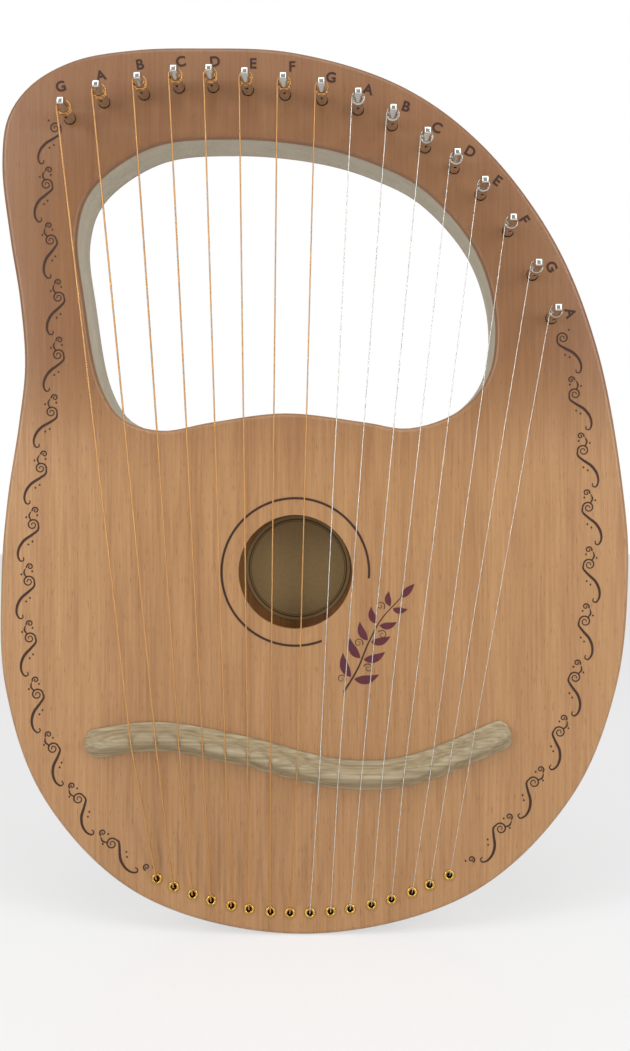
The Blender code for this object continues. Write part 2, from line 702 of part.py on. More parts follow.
PIN_HOLES = pin_hole_cutter()
POCKETS = bore_cutter("ball_pockets", POCKET_DIAMETER, SEAT_Y, CUT_MARGIN, POCKET_SIDES)
build_soundboard(PIN_HOLES)
build_core(PIN_HOLES, POCKETS)
build_back(POCKETS)
HOLE_EDGE = SOUND_HOLE_DIAMETER / 2 + BRACE_WIDTH / 2
build_brace("upper_brace", HOLE_EDGE + UPPER_BRACE_MARGIN)
build_brace("lower_brace", -HOLE_EDGE - LOWER_BRACE_MARGIN)
build_label()
build_bridge()
build_pins()
build_eyelets()
build_strings()
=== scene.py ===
"""Looks of a sixteen-string lyre harp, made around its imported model. Lengths are in metres.

The back of the body lies on y = 0 and its soundboard faces -Y. +Z is up, towards the tuning pins.
"""

import json
import math

import bmesh
import bpy
from mathutils import Matrix, Vector


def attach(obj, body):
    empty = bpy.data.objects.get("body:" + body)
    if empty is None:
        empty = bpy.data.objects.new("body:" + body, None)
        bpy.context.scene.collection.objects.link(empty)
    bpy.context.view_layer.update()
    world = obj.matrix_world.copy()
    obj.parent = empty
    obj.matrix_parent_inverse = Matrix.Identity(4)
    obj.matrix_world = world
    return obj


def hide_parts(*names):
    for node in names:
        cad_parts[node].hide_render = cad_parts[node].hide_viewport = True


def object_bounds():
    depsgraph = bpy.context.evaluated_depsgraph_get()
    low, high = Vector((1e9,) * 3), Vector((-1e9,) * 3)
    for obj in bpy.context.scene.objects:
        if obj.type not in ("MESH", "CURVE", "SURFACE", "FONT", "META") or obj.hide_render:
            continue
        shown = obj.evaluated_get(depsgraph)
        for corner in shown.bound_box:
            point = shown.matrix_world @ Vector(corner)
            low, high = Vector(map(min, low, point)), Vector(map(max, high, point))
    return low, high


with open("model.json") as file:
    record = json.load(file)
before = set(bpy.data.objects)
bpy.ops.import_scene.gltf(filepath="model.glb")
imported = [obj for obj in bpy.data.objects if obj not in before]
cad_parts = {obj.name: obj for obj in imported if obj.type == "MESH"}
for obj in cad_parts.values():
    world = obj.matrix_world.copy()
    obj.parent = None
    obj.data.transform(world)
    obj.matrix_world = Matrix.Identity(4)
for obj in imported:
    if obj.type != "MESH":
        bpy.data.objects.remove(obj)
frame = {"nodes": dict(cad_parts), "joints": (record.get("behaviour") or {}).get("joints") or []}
cad_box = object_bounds()

# Camera
# It stands about half a metre in front of the soundboard, a little right of the harp's middle,
# level, with the picture shifted so that the whole body stays in the frame.
PICTURE_HEIGHT_PIXELS = 1051
FOCAL_LENGTH_PIXELS = 1096.8
SENSOR_HEIGHT_MM = 36.0
SHIFT_X, SHIFT_Y = -0.0304, -0.0338
CAMERA_PLACE = (0.0240, -0.5400, 0.0381)
CLIP_START = 0.01
camera_data = bpy.data.cameras.new("camera")
camera_data.sensor_fit = "VERTICAL"
camera_data.sensor_height = SENSOR_HEIGHT_MM
camera_data.lens = FOCAL_LENGTH_PIXELS / PICTURE_HEIGHT_PIXELS * SENSOR_HEIGHT_MM
camera_data.shift_x = SHIFT_X
camera_data.shift_y = SHIFT_Y
camera_data.clip_start = CLIP_START
camera = bpy.data.objects.new("camera", camera_data)
camera.location = CAMERA_PLACE
camera.rotation_euler = (math.pi / 2, 0.0, 0.0)
bpy.context.scene.collection.objects.link(camera)
bpy.context.scene.camera = camera

# Soundboard
# The front board is thin mahogany ply with a satin varnish: fine dark pores run along the grain,
# and the arch around the window is darker. Its outer edge and the window's edge are rounded over.
FRONT_Y = -0.0300
BOARD_INNER_Y = -0.0272
ROUND_OVER = 0.0024
ROUND_OVER_STEPS = 3
SMOOTH_STEP = 0.004
SOUND_HOLE_RADIUS = 0.0265
CUT_MARGIN = 0.0020
MERGE_DISTANCE = 0.00001
LARGE_ROUND_SIDES = 96

# Places on the outlines of the body and of the window, as (x, z), clockwise seen from the front
BODY_OUTLINE = [
    (-0.0450, 0.2442), (-0.0010, 0.2421), (0.0483, 0.2271), (0.0853, 0.2009),
    (0.1199, 0.1560), (0.1410, 0.1036), (0.1536, 0.0325), (0.1553, 0.0010),
    (0.1498, -0.0536), (0.1283, -0.1060), (0.0806, -0.1509), (0.0030, -0.1690),
    (-0.0724, -0.1509), (-0.1173, -0.1060), (-0.1355, -0.0536), (-0.1373, -0.0040),
    (-0.1346, 0.0325), (-0.1290, 0.0699), (-0.1263, 0.0960), (-0.1285, 0.1260),
    (-0.1332, 0.1560), (-0.1369, 0.1900), (-0.1341, 0.2121), (-0.1232, 0.2272),
    (-0.1032, 0.2383), (-0.0760, 0.2432),
]
WINDOW_OUTLINE = [
    (-0.0300, 0.2018), (0.0117, 0.1977), (0.0378, 0.1898), (0.0599, 0.1780),
    (0.0836, 0.1504), (0.0930, 0.1189), (0.0900, 0.0913), (0.0770, 0.0755),
    (0.0533, 0.0669), (0.0324, 0.0697), (-0.0048, 0.0739), (-0.0392, 0.0697),
    (-0.0630, 0.0658), (-0.0814, 0.0716), (-0.0913, 0.0874), (-0.0987, 0.1268),
    (-0.1018, 0.1581), (-0.0952, 0.1780), (-0.0676, 0.1977),
]


def curve_point(before, start, end, after, share):
    """A point between start and end on the centripetal curve through four places."""
    knots = [0.0]
    places = [Vector(place) for place in (before, start, end, after)]
    for here, there in zip(places, places[1:]):
        knots.append(knots[-1] + math.sqrt((there - here).length))
    where = knots[1] + share * (knots[2] - knots[1])
    while len(places) > 2:
        span = len(knots) - len(places) + 1
        places = [
            here.lerp(there, (where - knots[i]) / (knots[i + span] - knots[i]))
            for i, (here, there) in enumerate(zip(places, places[1:]))
        ]
    return places[0].lerp(places[1], (where - knots[1]) / (knots[2] - knots[1]))


def smooth_stretch(before, start, end, after, step):
    """Points of the smooth curve from start up to, but without, end."""
    count = max(2, round((Vector(end) - Vector(start)).length / step))
    return [curve_point(before, start, end, after, i / count) for i in range(count)]


def smooth_loop(places, step):
    """A closed smooth curve through the places, as points about a step apart."""
    points = []
    for i in range(len(places)):
        points += smooth_stretch(*[places[(i + k) % len(places)] for k in (-1, 0, 1, 2)], step)
    return points


def smooth_line(places, step):
    """An open smooth curve through the places, as points about a step apart."""
    first, last = Vector(places[0]), Vector(places[-1])
    padded = [2 * first - Vector(places[1]), *places, 2 * last - Vector(places[-2])]
    points = []
    for i in range(len(places) - 1):
        points += smooth_stretch(*padded[i:i + 4], step)
    return points + [last]


def only(piece):
    """Select the piece alone and make it active."""
    bpy.ops.object.select_all(action="DESELECT")
    piece.select_set(True)
    bpy.context.view_layer.objects.active = piece


def flat_board(name, loops, y_front, y_back, rounding):
    """A board cut to the loops. With a rounding, both its faces' edges are turned over by it."""
    outline = bpy.data.curves.new(name, "CURVE")
    outline.dimensions = "2D"
    outline.fill_mode = "BOTH"
    outline.extrude = (y_back - y_front) / 2 - rounding
    outline.bevel_depth = rounding
    outline.bevel_resolution = ROUND_OVER_STEPS
    outline.offset = -rounding
    for loop in loops:
        spline = outline.splines.new("POLY")
        spline.points.add(len(loop) - 1)
        for point, place in zip(spline.points, loop):
            point.co = (place[0], place[1], 0.0, 1.0)
        spline.use_cyclic_u = True
    board = bpy.data.objects.new(name, outline)
    bpy.context.scene.collection.objects.link(board)
    board.location.y = (y_front + y_back) / 2
    board.rotation_euler.x = math.pi / 2
    only(board)
    bpy.ops.object.convert(target="MESH")
    bpy.ops.object.transform_apply(location=True, rotation=True, scale=True)
    bpy.ops.object.mode_set(mode="EDIT")
    bpy.ops.mesh.select_all(action="SELECT")
    bpy.ops.mesh.remove_doubles(threshold=MERGE_DISTANCE)
    bpy.ops.mesh.normals_make_consistent(inside=False)
    bpy.ops.object.mode_set(mode="OBJECT")
    return board


def keep_side(board, y, front):
    """Saw the board along y, keep its front or its back part, and close the sawn face."""
    only(board)
    bpy.ops.object.mode_set(mode="EDIT")
    bpy.ops.mesh.select_all(action="SELECT")
    bpy.ops.mesh.bisect(
        plane_co=(0, y, 0), plane_no=(0, 1, 0), use_fill=True,
        clear_outer=front, clear_inner=not front,
    )
    bpy.ops.mesh.select_all(action="SELECT")
    bpy.ops.mesh.normals_make_consistent(inside=False)
    bpy.ops.object.mode_set(mode="OBJECT")


def rod(name, radius, start, end, sides):
    """A round rod between two points."""
    start, end = Vector(start), Vector(end)
    turn = (end - start).to_track_quat("Z", "Y").to_euler()
    bpy.ops.mesh.primitive_cylinder_add(
        vertices=sides, radius=radius, depth=(end - start).length,
        location=(start + end) / 2, rotation=turn,
    )
    piece = bpy.context.object
    piece.name = name
    bpy.ops.object.transform_apply(location=True, rotation=True, scale=True)
    return piece


def cut(piece, cutter):
    """Take the cutter out of the piece, and remove the cutter."""
    boolean = piece.modifiers.new("cut", "BOOLEAN")
    boolean.operation = "DIFFERENCE"
    boolean.solver = "EXACT"
    boolean.object = cutter
    only(piece)
    bpy.ops.object.modifier_apply(modifier="cut")
    bpy.data.objects.remove(cutter, do_unlink=True)


def joined(name, pieces):
    """The pieces as one object."""
    only(pieces[0])
    for piece in pieces:
        piece.select_set(True)
    bpy.ops.object.join()
    pieces[0].name = name
    return pieces[0]


def smooth(piece, angle=35.0):
    """Smooth shading, apart from edges sharper than the angle."""
    only(piece)
    bpy.ops.object.shade_smooth_by_angle(angle=math.radians(angle))


def linear(hex_colour):
    """A linear colour with alpha from an sRGB hex value."""
    channels = [int(hex_colour[i:i + 2], 16) / 255 for i in (1, 3, 5)]
    return [c / 12.92 if c <= 0.04045 else ((c + 0.055) / 1.055) ** 2.4 for c in channels] + [1.0]


def add_node(material, kind, settings=None, links=None):
    """Add a node; links give an input a value or another node's output."""
    node = material.node_tree.nodes.new(kind)
    for name, value in (settings or {}).items():
        setattr(node, name, value)
    for name, value in (links or {}).items():
        if isinstance(value, bpy.types.NodeSocket):
            material.node_tree.links.new(value, node.inputs[name])
        else:
            node.inputs[name].default_value = value
    return node


def new_material(name):
    """An empty material with its shader and its object coordinates."""
    material = bpy.data.materials.new(name)
    material.use_nodes = True
    shader = material.node_tree.nodes["Principled BSDF"]
    place = add_node(material, "ShaderNodeTexCoord").outputs["Object"]
    return material, shader, place


def finish_with(piece, material):
    """Give the piece one material."""
    piece.data.materials.clear()
    piece.data.materials.append(material)


MIX_COLOUR_INPUTS, MIX_COLOUR_OUTPUT = (6, 7), 2


def between(material, share, low, high):
    """A colour that goes from low to high with the share, both as hex values or as outputs."""
    ends = [linear(end) if isinstance(end, str) else end for end in (low, high)]
    mix = add_node(material, "ShaderNodeMix", {"data_type": "RGBA"}, {"Factor": share})
    for number, end in zip(MIX_COLOUR_INPUTS, ends):
        if isinstance(end, bpy.types.NodeSocket):
            material.node_tree.links.new(end, mix.inputs[number])
        else:
            mix.inputs[number].default_value = end
    return mix.outputs[MIX_COLOUR_OUTPUT]


def stretched_noise(material, place, width, length, low, high, detail):
    """Noise of a grain's width and length along Z, stretched from low and high to 0 and 1."""
    along = add_node(
        material, "ShaderNodeMapping", links={"Vector": place, "Scale": (1, 1, width / length)}
    )
    noise = add_node(
        material, "ShaderNodeTexNoise",
        links={"Vector": along.outputs["Vector"], "Scale": 1 / width, "Detail": detail},
    )
    spread = add_node(
        material, "ShaderNodeMapRange",
        links={"Value": noise.outputs["Fac"], "From Min": low, "From Max": high},
    )
    return spread.outputs["Result"]


# Width, length, low and high end of the noise, and detail, of what shows in sawn wood
STREAKS = (0.009, 0.220, 0.30, 0.70, 3.0)
FINE_GRAIN = (0.0012, 0.040, 0.35, 0.68, 5.0)
PORES = (0.0005, 0.0060, 0.60, 0.72, 2.0)
STREAK_SHARE, FINE_GRAIN_SHARE, PORE_SHARE = 0.45, 0.55, 0.5
PORE_DENT = {"Strength": 0.35, "Distance": 0.0002}


def wood(name, light, dark, pore, roughness):
    """Sawn wood with wide streaks, fine grain and short dark pores, all along Z."""
    material, shader, place = new_material(name)
    streaks, fine, pores = (
        stretched_noise(material, place, *noise) for noise in (STREAKS, FINE_GRAIN, PORES)
    )
    weak_streaks = add_node(
        material, "ShaderNodeMath", {"operation": "MULTIPLY"}, {0: streaks, 1: STREAK_SHARE}
    )
    grain = add_node(
        material, "ShaderNodeMath", {"operation": "MULTIPLY_ADD"},
        {0: fine, 1: FINE_GRAIN_SHARE, 2: weak_streaks.outputs[0]},
    )
    colour = between(material, grain.outputs[0], light, dark)
    pore_depth = add_node(
        material, "ShaderNodeMath", {"operation": "MULTIPLY"}, {0: pores, 1: PORE_SHARE}
    ).outputs[0]
    colour = between(material, pore_depth, colour, pore)
    material.node_tree.links.new(colour, shader.inputs["Base Color"])
    shader.inputs["Roughness"].default_value = roughness
    dents = add_node(
        material, "ShaderNodeBump", {"invert": True}, {"Height": pore_depth, **PORE_DENT}
    )
    material.node_tree.links.new(dents.outputs["Normal"], shader.inputs["Normal"])
    return material, shader, place, colour


body_loop = smooth_loop(BODY_OUTLINE, SMOOTH_STEP)
window_loop = smooth_loop(WINDOW_OUTLINE, SMOOTH_STEP)
both_loops = [body_loop, window_loop]
mirrored_front_y = 2 * BOARD_INNER_Y - FRONT_Y
soundboard = flat_board("soundboard_mahogany", both_loops, FRONT_Y, mirrored_front_y, ROUND_OVER)
keep_side(soundboard, BOARD_INNER_Y, True)
hole_line = [(0, FRONT_Y - CUT_MARGIN, 0), (0, BOARD_INNER_Y + CUT_MARGIN, 0)]
cut(soundboard, rod("sound_hole", SOUND_HOLE_RADIUS, *hole_line, LARGE_ROUND_SIDES))

# The varnish gives the board a soft, broad sheen. The arch is darker and redder than the lower
# body, with a soft change across the window's sill.
ARCH_START_Z, ARCH_FULL_Z, ARCH_SHARE = 0.035, 0.110, 0.62
VARNISH_WEIGHT, VARNISH_ROUGHNESS = 0.15, 0.3
mahogany, mahogany_shader, mahogany_place, lower_colour = wood(
    "satin_varnished_mahogany", "#B98D5F", "#9A6E45", "#684226", roughness=0.38
)
height = add_node(mahogany, "ShaderNodeSeparateXYZ", links={"Vector": mahogany_place})
arch_share = add_node(
    mahogany, "ShaderNodeMapRange", {"interpolation_type": "SMOOTHSTEP"},
    {
        "Value": height.outputs["Z"], "From Min": ARCH_START_Z, "From Max": ARCH_FULL_Z,
        "To Max": ARCH_SHARE,
    },
)
arch_colour = between(mahogany, arch_share.outputs["Result"], lower_colour, "#6B3F25")
mahogany.node_tree.links.new(arch_colour, mahogany_shader.inputs["Base Color"])
mahogany_shader.inputs["Coat Weight"].default_value = VARNISH_WEIGHT
mahogany_shader.inputs["Coat Roughness"].default_value = VARNISH_ROUGHNESS
finish_with(soundboard, mahogany)

# Core frame
# A thick pale board, glued between the two mahogany ones, with the window and the sound chamber
# sawn out. Its bare edge shows as the grey-beige wall of the window and as the side of the body.
CORE_FRONT_Y, CORE_BACK_Y = -0.0271, -0.0029
RIM_WALL, SILL_WALL, TAIL_TOP_Z = 0.0140, 0.0110, -0.1276


def inset_loop(loop, distance):
    """The clockwise loop moved inwards by a distance."""
    points = []
    for i, here in enumerate(loop):
        along = (loop[(i + 1) % len(loop)] - loop[i - 1]).normalized()
        points.append(here + distance * Vector((along.y, -along.x)))
    return points


def clip_loop(loop, height, sign):
    """The part of the loop above (sign 1) or below (sign -1) a height."""
    points = []
    for i, here in enumerate(loop):
        last = loop[i - 1]
        inside, was_inside = (sign * (p.y - height) >= 0 for p in (here, last))
        if inside != was_inside:
            points.append(last.lerp(here, (height - last.y) / (here.y - last.y)))
        if inside:
            points.append(here)
    return points


sill_z = min(p.y for p in window_loop) - SILL_WALL
chamber_loop = clip_loop(clip_loop(inset_loop(body_loop, RIM_WALL), sill_z, -1), TAIL_TOP_Z, 1)
core = flat_board("core_frame_board", both_loops + [chamber_loop], CORE_FRONT_Y, CORE_BACK_Y, 0.0)

# Bare sawn wood is matt, and greyer than the varnished boards
core_wood = wood("bare_sawn_core_board", "#C4BAA6", "#A99E88", "#8A7E68", roughness=0.6)[0]
finish_with(core, core_wood)

# Back plate
# A second mahogany board, glued on from behind, closes the chamber. Its edges are rounded over
# like the soundboard's.
BACK_INNER_Y = -0.0028
back = flat_board("back_plate_mahogany", both_loops, 2 * BACK_INNER_Y, 0.0, ROUND_OVER)
keep_side(back, BACK_INNER_Y, False)

# Satin varnish on plainer, darker wood, with the same soft sheen
back_wood = wood("satin_mahogany_back", "#A8743F", "#85552C", "#4F2F18", roughness=0.4)[0]
finish_with(back, back_wood)

# Braces
# Two bare spruce bars, glued under the soundboard and hidden in the chamber. They are plain, so
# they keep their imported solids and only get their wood, which is pale yellow and matt.
spruce = wood("bare_spruce", "#DDC393", "#C4A36C", "#A58450", roughness=0.65)[0]
for name in ("upper_brace", "lower_brace"):
    finish_with(frame["nodes"][name], spruce)

# Tuning pins
# Nickel-plated steel, with a tapered square head, a low dome and a cross hole. Each is driven
# into a blind hole and leans back a few degrees. Its place and axis come from its joint.
PIN_RADIUS = 0.0025
PIN_PROUD = 0.0190
PIN_EMBEDDED = 0.0210
HEAD_LENGTH = 0.0062
HEAD_SHOULDER = 0.0012
HEAD_BASE_HALF, HEAD_EDGE_HALF, HEAD_TIP_HALF = 0.0019, 0.00173, 0.00165
STRING_HOLE_RADIUS, STRING_HOLE_HEIGHT = 0.0007, 0.0065
PIN_CLEARANCE = 0.0003
PIN_SIDES, PIN_DRILL_SIDES, STRING_HOLE_SIDES = 40, 32, 16

# Rise above the round shank, half width and share of it, for each ring of the head up to its dome
HEAD_RINGS = [
    (HEAD_SHOULDER, HEAD_BASE_HALF, 1.0),
    (HEAD_LENGTH - 0.0010, HEAD_EDGE_HALF, 1.0),
    (HEAD_LENGTH - 0.0006, HEAD_TIP_HALF, 0.97),
    (HEAD_LENGTH - 0.0003, HEAD_TIP_HALF, 0.86),
    (HEAD_LENGTH - 0.0001, HEAD_TIP_HALF, 0.62),
    (HEAD_LENGTH, HEAD_TIP_HALF, 0.25),
]
pin_joints = sorted(frame["joints"], key=lambda joint: joint["name"])
pin_places = [Vector(joint["pos_m"]) for joint in pin_joints]
PIN_OUTWARD = -Vector(pin_joints[0]["axis"]).normalized()
PIN_LEFT = Vector((-1.0, 0.0, 0.0))
PIN_DOWN = PIN_OUTWARD.cross(PIN_LEFT)


def clamp(value, half):
    """The value kept within half of zero."""
    return max(-half, min(half, value))


def make_pin(name, place):
    """A pin turned from a rod: its top face is extruded, squared and domed in edit mode."""
    shank_top = PIN_PROUD - HEAD_LENGTH
    pin = rod(name, PIN_RADIUS, (0, 0, -PIN_EMBEDDED), (0, 0, shank_top), PIN_SIDES)
    mesh = bmesh.new()
    mesh.from_mesh(pin.data)
    top = max(mesh.faces, key=lambda face: face.calc_center_median().z)
    round_ring = [vert.co.copy() for vert in top.verts]
    for rise, half, share in HEAD_RINGS:
        top = bmesh.ops.extrude_discrete_faces(mesh, faces=[top])["faces"][0]
        for vert, start in zip(top.verts, round_ring):
            vert.co.x = share * clamp(start.x, half)
            vert.co.y = share * clamp(start.y, half)
            vert.co.z = shank_top + rise
    mesh.to_mesh(pin.data)
    mesh.free()
    across = [(0, -2 * PIN_RADIUS, STRING_HOLE_HEIGHT), (0, 2 * PIN_RADIUS, STRING_HOLE_HEIGHT)]
    cut(pin, rod("string_hole", STRING_HOLE_RADIUS, *across, STRING_HOLE_SIDES))
    turned = Matrix((PIN_LEFT, PIN_DOWN, PIN_OUTWARD)).transposed().to_4x4()
    pin.data.transform(Matrix.Translation(place) @ turned)
    smooth(pin)
    return pin


# Polished plating is a bright, slightly warm mirror. Wear marks 1.1 mm wide make it a little uneven.
PLATING_MARKS_PER_METRE = 900.0
nickel, nickel_shader, nickel_place = new_material("nickel_plated_steel")
nickel_shader.inputs["Base Color"].default_value = linear("#D8D5CE")
nickel_shader.inputs["Metallic"].default_value = 1.0
polish = add_node(
    nickel, "ShaderNodeTexNoise",
    links={"Vector": nickel_place, "Scale": PLATING_MARKS_PER_METRE, "Detail": 3.0},
)
polish_range = add_node(
    nickel, "ShaderNodeMapRange",
    links={"Value": polish.outputs["Fac"], "To Min": 0.10, "To Max": 0.22},
)
nickel.node_tree.links.new(polish_range.outputs["Result"], nickel_shader.inputs["Roughness"])
pin_drills = []
for number, (joint, place) in enumerate(zip(pin_joints, pin_places), 1):
    pin = make_pin(f"nickel_pin_{number:02d}", place)
    finish_with(pin, nickel)
    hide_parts(f"tuning_pin_{number:02d}")
    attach(pin, joint["child"])
    bottom = place - (PIN_EMBEDDED + PIN_CLEARANCE) * PIN_OUTWARD
    above = place + CUT_MARGIN * PIN_OUTWARD
    pin_drills.append(rod("drill", PIN_RADIUS + PIN_CLEARANCE, bottom, above, PIN_DRILL_SIDES))


def copy_of(piece):
    """A second object with its own copy of the mesh."""
    double = piece.copy()
    double.data = piece.data.copy()
    bpy.context.scene.collection.objects.link(double)
    return double


pin_drill = joined("pin_holes", pin_drills)
cut(soundboard, copy_of(pin_drill))
cut(core, pin_drill)

# Eyelets
# Small turned brass eyelets, pressed into the soundboard where the strings go down through it.
# Behind each one a bore leads through the core to a pocket for the string's ball end.

# The x of each eyelet, from the bass string to the treble string
EYELET_PLACES = [
    -0.0644, -0.0565, -0.0477, -0.0391, -0.0297, -0.0215, -0.0115, -0.0025,
    0.0068, 0.0164, 0.0255, 0.0354, 0.0447, 0.0542, 0.0624, 0.0716,
]
EYELET_ARC_RADIUS, EYELET_ARC_LOWEST = 0.1460, (0.0020, -0.1586)
EYELET_BORE, EYELET_BARREL, EYELET_FLANGE = 0.00125, 0.00165, 0.00255
EYELET_HEIGHT, EYELET_FOOT, EYELET_LENGTH = 0.0008, 0.0001, 0.0024
EYELET_CLEARANCE = 0.0001
STRING_BORE, POCKET_RADIUS, SEAT_Y = 0.0013, 0.0031, -0.0230
BORE_OVERLAP = 0.0010
LIP_STEPS, EYELET_SIDES, BORE_SIDES, POCKET_SIDES = 6, 24, 24, 32


def eyelet_centre(x):
    """The point of the arc of eyelets at x, on the soundboard."""
    low_x, low_z = EYELET_ARC_LOWEST
    z = low_z + EYELET_ARC_RADIUS - math.sqrt(EYELET_ARC_RADIUS**2 - (x - low_x) ** 2)
    return Vector((x, FRONT_Y, z))


def make_eyelet(name, place):
    """An eyelet spun from its profile: barrel, flat foot and a rounded lip."""
    half = (EYELET_FLANGE - EYELET_BORE) / 2
    lip = [
        (EYELET_BORE + half * (1 - math.cos(math.pi * i / LIP_STEPS)),
         EYELET_FOOT + (EYELET_HEIGHT - EYELET_FOOT) * math.sin(math.pi * i / LIP_STEPS))
        for i in range(LIP_STEPS + 1)
    ]
    profile = [(EYELET_BORE, -EYELET_LENGTH)] + lip + [
        (EYELET_BARREL, EYELET_FOOT), (EYELET_BARREL, -EYELET_LENGTH)
    ]
    mesh = bpy.data.meshes.new(name)
    count = len(profile)
    corners = [(place.x + radius, place.y - out, place.z) for radius, out in profile]
    mesh.from_pydata(corners, [(i, (i + 1) % count) for i in range(count)], [])
    eyelet = bpy.data.objects.new(name, mesh)
    bpy.context.scene.collection.objects.link(eyelet)
    only(eyelet)
    bpy.ops.object.mode_set(mode="EDIT")
    bpy.ops.mesh.select_all(action="SELECT")
    bpy.ops.mesh.spin(steps=EYELET_SIDES, angle=2 * math.pi, center=place, axis=(0, 1, 0))
    bpy.ops.mesh.select_all(action="SELECT")
    bpy.ops.mesh.remove_doubles(threshold=MERGE_DISTANCE)
    bpy.ops.mesh.normals_make_consistent(inside=False)
    bpy.ops.object.mode_set(mode="OBJECT")
    smooth(eyelet)
    return eyelet


# Turned brass is a bright yellow mirror, tarnished in patches 0.7 mm wide
TARNISH_PATCHES_PER_METRE = 1500.0
brass, brass_shader, brass_place = new_material("turned_brass")
brass_shader.inputs["Metallic"].default_value = 1.0
brass_shader.inputs["Roughness"].default_value = 0.22
tarnish = add_node(
    brass, "ShaderNodeTexNoise", links={"Vector": brass_place, "Scale": TARNISH_PATCHES_PER_METRE}
)
brass_colour = between(brass, tarnish.outputs["Fac"], "#E0BC66", "#B98F3C")
brass.node_tree.links.new(brass_colour, brass_shader.inputs["Base Color"])
eyelet_places = [eyelet_centre(x) for x in EYELET_PLACES]
front_drills, bores, pockets = [], [], []
for number, place in enumerate(eyelet_places, 1):
    eyelet = make_eyelet(f"brass_eyelet_{number:02d}", place)
    finish_with(eyelet, brass)
    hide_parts(f"eyelet_{number:02d}")
    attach(eyelet, "harp")
    ahead, inner, bore_start, bore_end, seat, behind = (
        Vector((place.x, y, place.z))
        for y in (FRONT_Y - CUT_MARGIN, CORE_FRONT_Y, CORE_FRONT_Y - CUT_MARGIN,
                  SEAT_Y + BORE_OVERLAP, SEAT_Y, CUT_MARGIN)
    )
    front_drills.append(rod("drill", EYELET_BARREL + EYELET_CLEARANCE, ahead, inner, BORE_SIDES))
    bores.append(rod("drill", STRING_BORE, bore_start, bore_end, BORE_SIDES))
    pockets.append(rod("drill", POCKET_RADIUS, seat, behind, POCKET_SIDES))
cut(soundboard, joined("eyelet_holes", front_drills))
cut(core, joined("string_bores", bores))
pocket_drill = joined("ball_pockets", pockets)
cut(core, copy_of(pocket_drill))
cut(back, pocket_drill)
for board, node in ((soundboard, "soundboard"), (core, "core_frame"), (back, "back_plate")):
    smooth(board, angle=30.0)
    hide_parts(node)
    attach(board, "harp")

# Bridge
# A hardwood ridge along a smooth S, left bare and grey-brown. Its crest is rounded and its ends
# fall away. It is glued to the soundboard.
BRIDGE_LINE = [
    (-0.0969, -0.0803), (-0.0640, -0.0763), (-0.0258, -0.0826),
    (0.0198, -0.0935), (0.0519, -0.0923), (0.0996, -0.0740),
]
BRIDGE_HALF_WIDTH, BRIDGE_HEIGHT, BRIDGE_FOOT = 0.00675, 0.0090, 0.0001
BRIDGE_END_LENGTH, BRIDGE_END_SHARE = 0.0180, 0.45
BRIDGE_END_ROUND = 0.0040
BRIDGE_EDGE_RISE, BRIDGE_CREST_POWER = 0.14, 1.25
BRIDGE_STEP, BRIDGE_ACROSS = 0.0025, 14
bridge_line = smooth_line(BRIDGE_LINE, BRIDGE_STEP)
bridge_length = sum((there - here).length for here, there in zip(bridge_line, bridge_line[1:]))


def bridge_rise(share):
    """How high the ridge's section is at a share of its half width."""
    round_top = 0.5 + 0.5 * math.cos(math.pi * abs(share) ** BRIDGE_CREST_POWER)
    return BRIDGE_EDGE_RISE + (1 - BRIDGE_EDGE_RISE) * round_top


def bridge_point(along_share, across_share, up_share):
    """A point of the ridge, which is lower towards its two ends and rounded at their tips."""
    last = len(bridge_line) - 1
    exact = along_share * last
    i = min(int(exact), last - 1)
    here, there = bridge_line[i], bridge_line[i + 1]
    along = (bridge_line[min(i + 2, last)] - bridge_line[max(i - 1, 0)]).normalized()
    place = here.lerp(there, exact - i)
    from_end = min(along_share, 1 - along_share) * bridge_length
    rise = math.sin(min(from_end / BRIDGE_END_LENGTH, 1.0) * math.pi / 2)
    to_tip = 1 - min(from_end / BRIDGE_END_ROUND, 1.0)
    narrow = 0.5 + 0.5 * math.sqrt(max(0.0, 1 - to_tip**2))
    place = place + narrow * across_share * BRIDGE_HALF_WIDTH * Vector((-along.y, along.x))
    height = BRIDGE_HEIGHT * (BRIDGE_END_SHARE + (1 - BRIDGE_END_SHARE) * rise)
    return Vector((place.x, FRONT_Y - BRIDGE_FOOT - up_share * height, place.y))


bpy.ops.mesh.primitive_grid_add(
    x_subdivisions=len(bridge_line) - 1, y_subdivisions=BRIDGE_ACROSS, size=1.0
)
bridge = bpy.context.object
bridge.name = "beech_bridge"
bpy.ops.object.mode_set(mode="EDIT")
bpy.ops.mesh.select_all(action="SELECT")
bpy.ops.mesh.extrude_region_move(TRANSFORM_OT_translate={"value": (0, 0, 1)})
bpy.ops.object.mode_set(mode="OBJECT")
for vert in bridge.data.vertices:
    across = 2 * vert.co.y
    up = bridge_rise(across) if vert.co.z > 0.5 else 0.0
    vert.co = bridge_point(vert.co.x + 0.5, across, up)
only(bridge)
bpy.ops.object.mode_set(mode="EDIT")
bpy.ops.mesh.select_all(action="SELECT")
bpy.ops.mesh.normals_make_consistent(inside=False)
bpy.ops.object.mode_set(mode="OBJECT")
smooth(bridge, angle=50.0)


# Width, length, low and high end of the noise, and detail, of the bridge's grain
BEECH_GRAIN = (0.0011, 0.060, 0.34, 0.66, 4.0)


